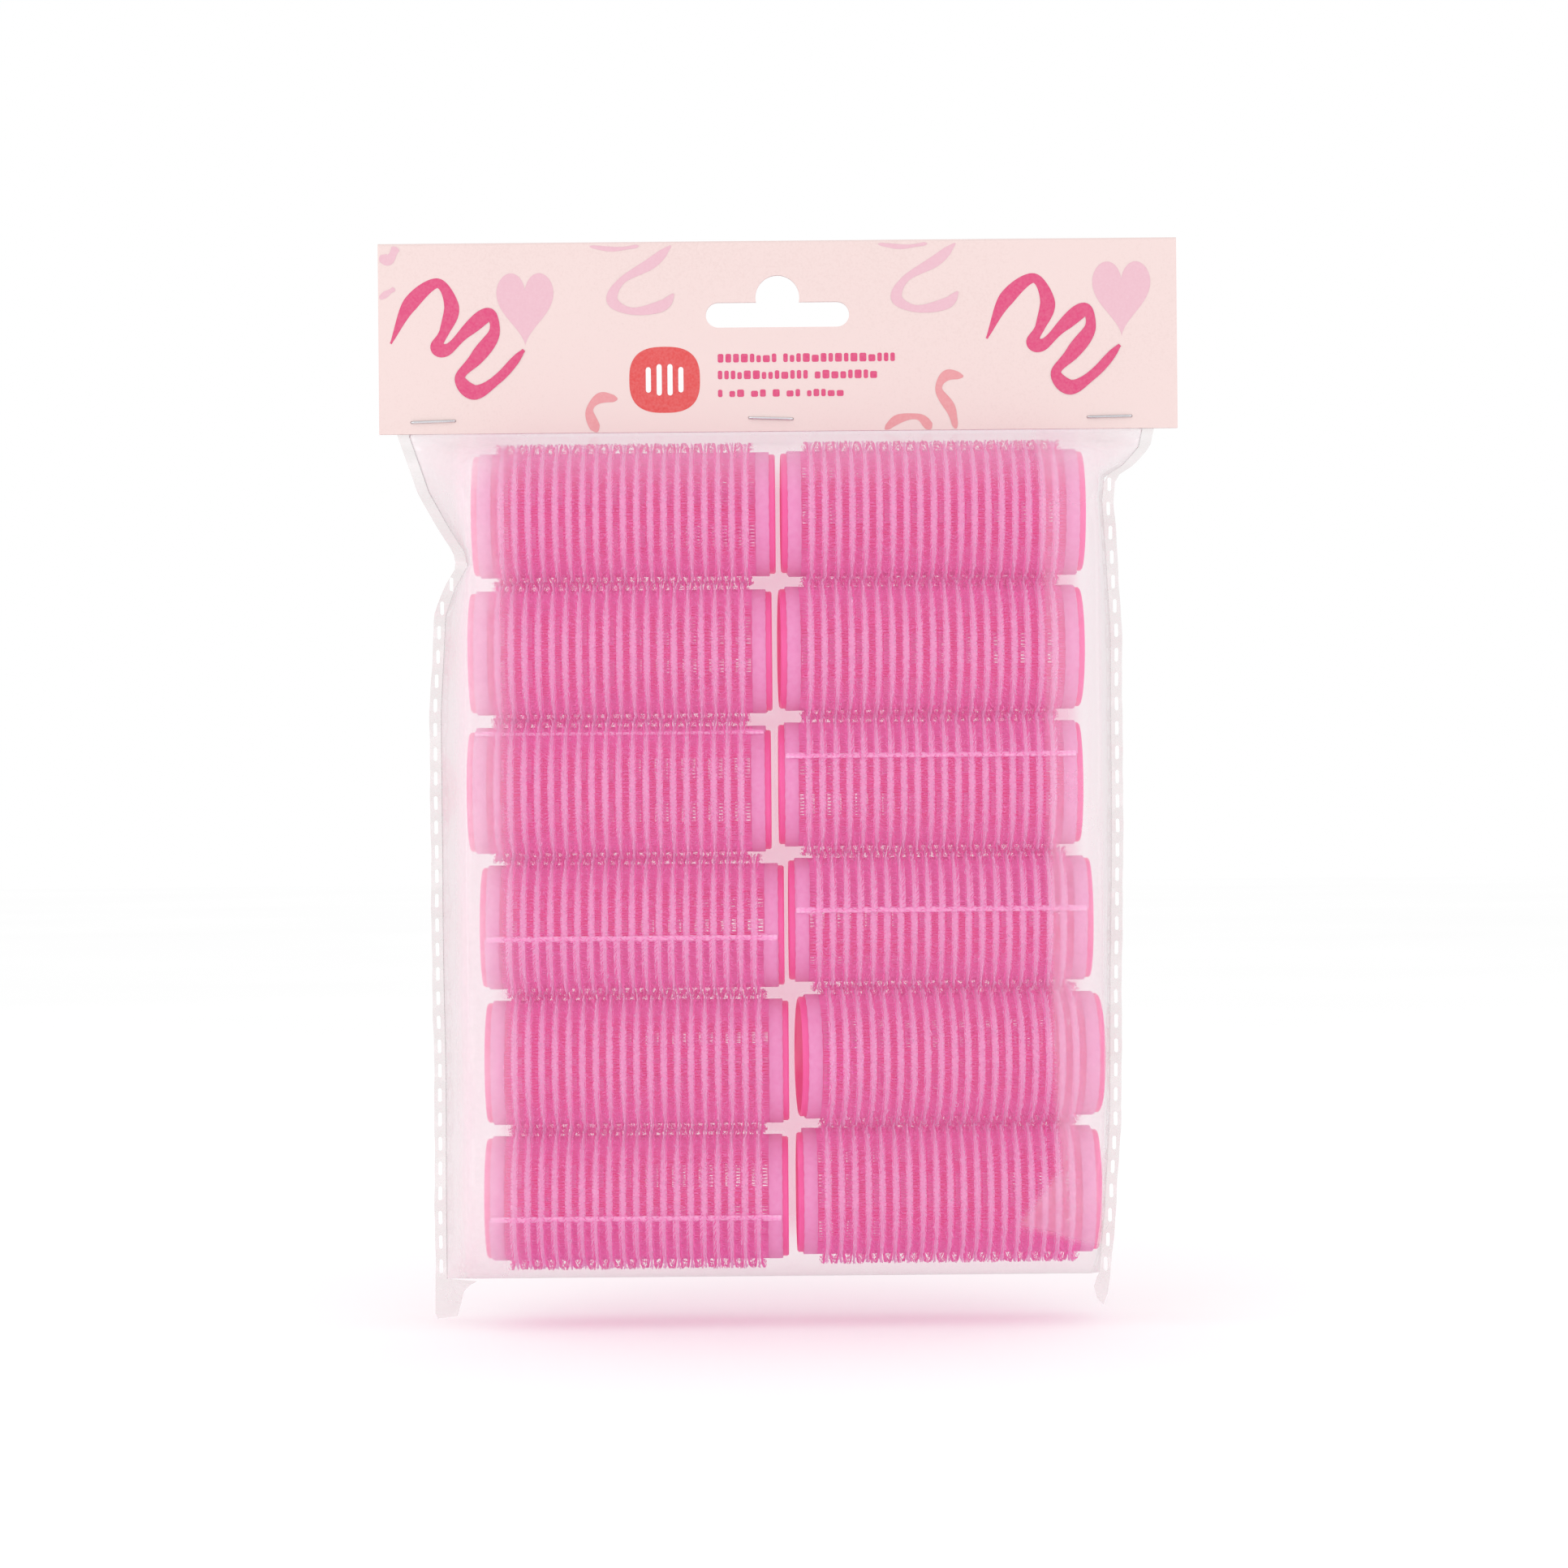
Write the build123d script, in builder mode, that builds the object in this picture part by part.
"""Hang pack of twelve self-gripping hair rollers: clear film bag, folded header card, three staples.

The pack hangs upright, its front facing -Y and +Z up, with the origin at the centre of the round
part of the hang slot. Every roller is a slotted plastic core inside a sleeve of woven hook tape.
"""

import os
from collections import namedtuple
from math import cos, radians, sin

from build123d import *

# Roller core: a moulded tube along X with rows of windows
CORE_LENGTH = 61.0
CORE_RADIUS = 12.1
CORE_WALL = 1.1
CORE_EDGE = 0.3
WINDOW_ROWS = 10
WINDOW_PITCH = 5.48
WINDOW_WIDTH = 3.3
WINDOWS_AROUND = 8
WINDOW_ARC = 33.0

# Hook tape sleeve: woven base 25 mm across, ribbons of hooks with open gauze between them
SLEEVE_LENGTH = 58.6
SLEEVE_GAP = 0.05
BASE_RADIUS = 12.5
GAUZE_WALL = 0.15
SELVEDGE_WIDTH = 2.8
RIBBONS = 19
RIBBON_WIDTH = 1.42
RIBBON_PITCH = 2.72
HOOK_RADIUS = 13.6
HOOK_ROW_WIDTH = 0.9
LAP_WALL = 0.3
LAP_ARC = 60.0

# Header card: one sheet folded over the mouth of the bag
CARD_WIDTH = 162.0
CARD_TOP = 11.5
CARD_BOTTOM = -27.2
CARD_SHEET = 0.4
CARD_INSIDE = 0.4
SLOT_LENGTH = 29.1
SLOT_HEIGHT = 5.1
SLOT_CENTRE_Z = -3.55
SLOT_BUMP_RADIUS = 4.45

# Bag: welded film, its mouth clamped flat in the card
FILM = 0.3
BAG_HALF_DEPTH = 16.1
COLLAR_WIDTH = 155.0
COLLAR_TOP = -12.0
COLLAR_BOTTOM = -28.3
NECK_TOP = -28.9
NECK_HALF = 0.4
ARCH_KNEE_DROP = 3.4
ARCH_KNEE_SHARE = 0.66
ARCH_DROP = 14.8
BAG_BOTTOM = -198.5
STRAIGHT_HALF = 63.8
SEAM_HALF = 69.5
SEAM_EDGE = 72.0
SEAM_SHEET = 0.5
EAR_BOTTOM = -206.0

# Perforations along each side weld
PERFORATIONS = 31
PERFORATION_PITCH = 4.9
PERFORATION_LENGTH = 3.0
PERFORATION_WIDTH = 0.8
PERFORATION_X = 70.9
PERFORATION_TOP = -52.0

# Staples: 0.5 mm wire, crown at the front, legs clenched at the back
WIRE_RADIUS = 0.25
CROWN_HALF = 4.35
STAPLE_Y = 0.9
CLENCH_LENGTH = 3.4
CLENCH_LIFT = 0.3
WIRE_BEND = 0.42
PIERCED_RADIUS = 0.28

# Where each roller lies. seam is the angle of the tape's free edge above the front.
# A turned roller lies the other way round, which puts the second layer of tape below that edge.
Lie = namedtuple("Lie", "x z yaw turned seam")
ROLLERS = {
    "left_1": Lie(-31.3, -44.0, 0.0, False, 150.0),
    "left_2": Lie(-32.2, -71.8, 0.0, False, 200.0),
    "left_3": Lie(-32.6, -99.9, 0.0, False, 63.0),
    "left_4": Lie(-30.2, -127.4, 0.0, True, -9.0),
    "left_5": Lie(-29.5, -154.9, 0.0, False, 170.0),
    "left_6": Lie(-29.8, -182.4, 0.0, True, -14.0),
    "right_1": Lie(30.8, -43.9, 1.0, False, 215.0),
    "right_2": Lie(30.2, -71.4, 2.0, True, 180.0),
    "right_3": Lie(29.9, -98.9, 0.5, False, 26.0),
    "right_4": Lie(31.7, -126.4, 0.5, False, 10.0),
    "right_5": Lie(33.4, -154.0, 4.0, False, 160.0),
    "right_6": Lie(32.9, -181.6, 1.0, True, 140.0),
}
Pin = namedtuple("Pin", "x z tilt")
STAPLES = {
    "left": Pin(-70.0, -24.7, 1.5),
    "middle": Pin(-1.5, -24.6, -2.0),
    "right": Pin(67.2, -24.8, 1.0),
}


def save(part, name):
    """Writes one named sub-part."""
    part.label = name
    export_step(part, f"parts/{name}.step")


def core_part():
    """The slotted tube, centred on the origin and lying along X."""
    with BuildPart() as core:
        with BuildSketch(Plane.YZ.offset(-CORE_LENGTH / 2)):
            Circle(CORE_RADIUS)
            Circle(CORE_RADIUS - CORE_WALL, mode=Mode.SUBTRACT)
        extrude(amount=CORE_LENGTH)
        chamfer(core.edges().filter_by(GeomType.CIRCLE), length=CORE_EDGE)
        chord = 2 * CORE_RADIUS * sin(radians(WINDOW_ARC / 2))
        first = -WINDOW_PITCH * (WINDOW_ROWS - 1) / 2
        # each block cuts two opposite windows
        blocks = [
            Location((first + row * WINDOW_PITCH, 0, 0), (turn * 360 / WINDOWS_AROUND, 0, 0))
            for row in range(WINDOW_ROWS)
            for turn in range(WINDOWS_AROUND // 2)
        ]
        with Locations(*blocks):
            Box(WINDOW_WIDTH, chord, 4 * CORE_RADIUS, mode=Mode.SUBTRACT)
    return core.part


def tape_profile(inner, outer, gauze):
    """Half section of the tape between two radii: gauze, selvedges, ribbons and hook rows."""
    with BuildSketch(Plane.XZ) as profile:
        with Locations((0, inner + gauze / 2)):
            Rectangle(SLEEVE_LENGTH, gauze)
        with Locations((0, (inner + outer) / 2)):
            with GridLocations(SLEEVE_LENGTH - SELVEDGE_WIDTH, 0, 2, 1):
                Rectangle(SELVEDGE_WIDTH, outer - inner)
            with GridLocations(RIBBON_PITCH, 0, RIBBONS, 1):
                Rectangle(RIBBON_WIDTH, outer - inner)
        with Locations((0, (outer + HOOK_RADIUS) / 2)):
            with GridLocations(RIBBON_PITCH, 0, RIBBONS, 1):
                Rectangle(HOOK_ROW_WIDTH, HOOK_RADIUS - outer)
    return profile.sketch


def sleeve_part():
    """The hook tape wrapped once round the core, with a second layer where its ends lap."""
    inner = CORE_RADIUS + SLEEVE_GAP
    with BuildPart() as sleeve:
        add(tape_profile(inner, BASE_RADIUS, GAUZE_WALL))
        revolve(axis=Axis.X)
        add(tape_profile(inner, BASE_RADIUS + LAP_WALL, BASE_RADIUS - inner))
        revolve(axis=Axis((0, 0, 0), (-1, 0, 0)), revolution_arc=LAP_ARC)
    return sleeve.part


def roller_place(lie):
    """Carries a roller from the origin to its place, its free edge seam degrees above the front."""
    spin = lie.seam - 90 if lie.turned else 90 - lie.seam
    heading = lie.yaw + (180 if lie.turned else 0)
    return Location((lie.x, 0, lie.z), (0, 0, heading)) * Location((0, 0, 0), (spin, 0, 0))


def pierce(part):
    """Cuts the staple legs' holes through a sheet that lies in the XZ plane."""
    holes = []
    for pin in STAPLES.values():
        reach = Location((pin.x, 0, pin.z), (0, -pin.tilt, 0))
        holes += [reach * Location((side * CROWN_HALF, 0, 0), (90, 0, 0)) for side in (-1, 1)]
    with BuildPart() as sheet:
        add(part)
        with Locations(*holes):
            Cylinder(PIERCED_RADIUS, 4, mode=Mode.SUBTRACT)
    return sheet.part


def card_part():
    """The card: two leaves joined by a round fold at the top, with the hang slot through both."""
    outside = CARD_INSIDE / 2 + CARD_SHEET
    fold_z = CARD_TOP - outside
    with BuildPart() as card:
        with BuildSketch(Plane.YZ.offset(-CARD_WIDTH / 2)):
            for half, mode in ((outside, Mode.ADD), (CARD_INSIDE / 2, Mode.SUBTRACT)):
                with Locations((0, fold_z)):
                    Circle(half, mode=mode)
                with Locations((0, (fold_z + CARD_BOTTOM) / 2)):
                    Rectangle(2 * half, fold_z - CARD_BOTTOM, mode=mode)
        extrude(amount=CARD_WIDTH)
        with BuildSketch(Plane.XZ):
            with Locations((0, SLOT_CENTRE_Z)):
                SlotOverall(SLOT_LENGTH, SLOT_HEIGHT)
            Circle(SLOT_BUMP_RADIUS)
        extrude(amount=4, both=True, mode=Mode.SUBTRACT)
    return pierce(card.part)


def staple_part(pin):
    """One staple in place."""
    with BuildPart() as staple:
        with BuildLine() as wire:
            FilletPolyline(
                (CLENCH_LENGTH - CROWN_HALF, STAPLE_Y + CLENCH_LIFT),
                (-CROWN_HALF, STAPLE_Y),
                (-CROWN_HALF, -STAPLE_Y),
                (CROWN_HALF, -STAPLE_Y),
                (CROWN_HALF, STAPLE_Y),
                (CROWN_HALF - CLENCH_LENGTH, STAPLE_Y + CLENCH_LIFT),
                radius=WIRE_BEND,
            )
        with BuildSketch(Plane(wire.line @ 0, z_dir=wire.line % 0)):
            Circle(WIRE_RADIUS)
        sweep()
    return staple.part.moved(Location((pin.x, 0, pin.z), (0, -pin.tilt, 0)))


def collar_part():
    """The two webs of the bag's mouth, flat between the card's leaves."""
    with BuildPart() as collar:
        with Locations((0, 0, (COLLAR_TOP + COLLAR_BOTTOM) / 2)):
            Box(COLLAR_WIDTH, FILM, COLLAR_TOP - COLLAR_BOTTOM)
    return pierce(collar.part)


def side_outline(plane, depth, neck, top, bottom):
    """The bag seen from the side: a flat neck, an arch, straight walls and a round bottom."""
    with BuildSketch(plane) as outline:
        with BuildLine():
            right = Polyline(
                (neck, top),
                (max(neck, ARCH_KNEE_SHARE * depth), top - ARCH_KNEE_DROP),
                (depth, NECK_TOP - ARCH_DROP),
                (depth, bottom + depth),
            )
            ThreePointArc(right @ 1, (0, bottom), (-depth, bottom + depth))
            mirror(right, about=Plane.YZ)
            Line((-neck, top), (neck, top))
        make_face()
    return outline.sketch


def pouch_solid(inset):
    """The space inside a film surface that lies inset millimetres within the bag's outside."""
    top = NECK_TOP - inset
    straight, seam = STRAIGHT_HALF - inset / 2, SEAM_HALF - inset
    wide = (BAG_HALF_DEPTH - inset, NECK_HALF - inset, top, BAG_BOTTOM + inset)
    thin = (NECK_HALF + 0.05 - inset, NECK_HALF - inset, top, BAG_BOTTOM + inset)
    with BuildPart() as pouch:
        sections = [
            side_outline(Plane.YZ.offset(-seam), *thin),
            side_outline(Plane.YZ.offset(-straight), *wide),
            side_outline(Plane.YZ.offset(straight), *wide),
            side_outline(Plane.YZ.offset(seam), *thin),
        ]
        loft(sections=sections, ruled=True)
    return pouch.part


def film_half(keep):
    """The front or the back web of the bag, cut apart in the plane of the side welds."""
    with BuildPart() as film:
        add(pouch_solid(0))
        add(pouch_solid(FILM), mode=Mode.SUBTRACT)
        split(bisect_by=Plane.XZ, keep=keep)
    return film.part


def seal_part(side, shoulder, ear):
    """A side weld: a flat strip with a flared shoulder, a tail at the foot and perforations."""
    with BuildPart() as seal:
        with BuildSketch(Plane.XZ):
            with BuildLine():
                Polyline(
                    (side * SEAM_HALF, NECK_TOP),
                    (side * shoulder, NECK_TOP),
                    (side * (SEAM_EDGE + 0.5), NECK_TOP - 15),
                    (side * SEAM_EDGE, NECK_TOP - 22),
                    (side * SEAM_EDGE, EAR_BOTTOM),
                    (side * (SEAM_EDGE - ear), EAR_BOTTOM + 0.5),
                    (side * (SEAM_EDGE - ear - 1.5), BAG_BOTTOM - 0.5),
                    (side * SEAM_HALF, BAG_BOTTOM - 0.5),
                    close=True,
                )
            make_face()
            middle = PERFORATION_TOP - PERFORATION_PITCH * (PERFORATIONS - 1) / 2
            with Locations((side * PERFORATION_X, middle)):
                with GridLocations(0, PERFORATION_PITCH, 1, PERFORATIONS):
                    SlotOverall(PERFORATION_LENGTH, PERFORATION_WIDTH, rotation=90, mode=Mode.SUBTRACT)
        extrude(amount=SEAM_SHEET / 2, both=True)
    return seal.part


os.makedirs("parts", exist_ok=True)

save(card_part(), "header_card")
save(collar_part(), "bag_collar")
for name, pin in STAPLES.items():
    save(staple_part(pin), f"staple_{name}")

save(film_half(Keep.BOTTOM), "bag_front_film")
save(film_half(Keep.TOP), "bag_back_film")
save(seal_part(-1, 77.5, 4.8), "side_weld_left")
save(seal_part(1, 76.0, 3.5), "side_weld_right")

plain_core = core_part()
plain_sleeve = sleeve_part()
for name, lie in ROLLERS.items():
    place = roller_place(lie)
    save(plain_core.moved(place), f"roller_{name}_core")
    save(plain_sleeve.moved(place), f"roller_{name}_sleeve")
